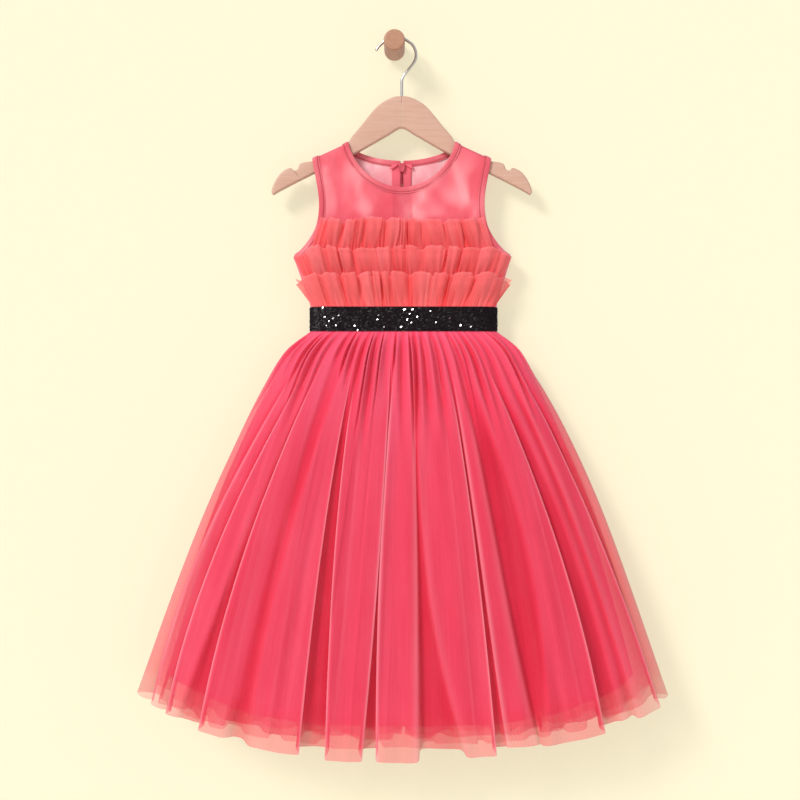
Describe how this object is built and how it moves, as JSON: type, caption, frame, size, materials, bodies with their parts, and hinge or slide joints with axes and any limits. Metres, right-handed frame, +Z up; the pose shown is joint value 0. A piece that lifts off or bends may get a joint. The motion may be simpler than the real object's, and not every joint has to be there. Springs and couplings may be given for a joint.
{
  "type": "toddler party dress on a wooden hanger and wall peg",
  "caption": "Sleeveless toddler party dress with a satin yoke, ruffled bodice, sequinned belt and layered tulle skirt, on a wooden hanger and wall peg.",
  "frame": {"origin": "centre of the wall peg's flat back face, on the wall", "axes": "+Y into the wall, so the dress's front faces -Y; +Z up; +X to the right when looking at the front"},
  "size_m": [0.6273, 0.1301, 0.8564],
  "materials": {
    "peg_wood": "oiled beech, turned",
    "hanger_wood": "waxed beech, sawn and sanded",
    "hook_steel": "nickel plated wire",
    "satin": "polyester satin",
    "binding": "satin bias binding",
    "ruffle_tulle": "gathered soft tulle",
    "skirt_tulle": "soft tulle",
    "belt_sequins": "black sequins on a woven band",
    "zip": "polyester zip tape and painted slider"
  },
  "bodies": {
    "dress": {"wall_peg": "peg_wood", "hanger_wood": "hanger_wood", "hanger_hook": "hook_steel", "yoke_front": "satin", "yoke_back_left": "satin", "yoke_back_right": "satin", "bodice_front": "satin", "bodice_back_left": "satin", "bodice_back_right": "satin", "neck_binding": "binding", "armhole_binding_left": "binding", "armhole_binding_right": "binding", "ruffle_tier_1": "ruffle_tulle", "ruffle_tier_2": "ruffle_tulle", "ruffle_tier_3": "ruffle_tulle", "belt": "belt_sequins", "tulle_outer": "skirt_tulle", "tulle_inner": "skirt_tulle", "underskirt": "satin", "zip_tape_left": "zip", "zip_tape_right": "zip", "zip_coil": "zip", "zip_slider": "zip"},
    "pull_tab": {"zip_pull_tab": "zip"}
  },
  "joints": [
    {"name": "pull_tab_hinge", "type": "hinge", "parent": "dress", "child": "pull_tab", "pos_m": [0.0088, -0.0113, -0.1475], "axis": [1, 0, 0], "range_deg": [0, 160]}
  ]
}
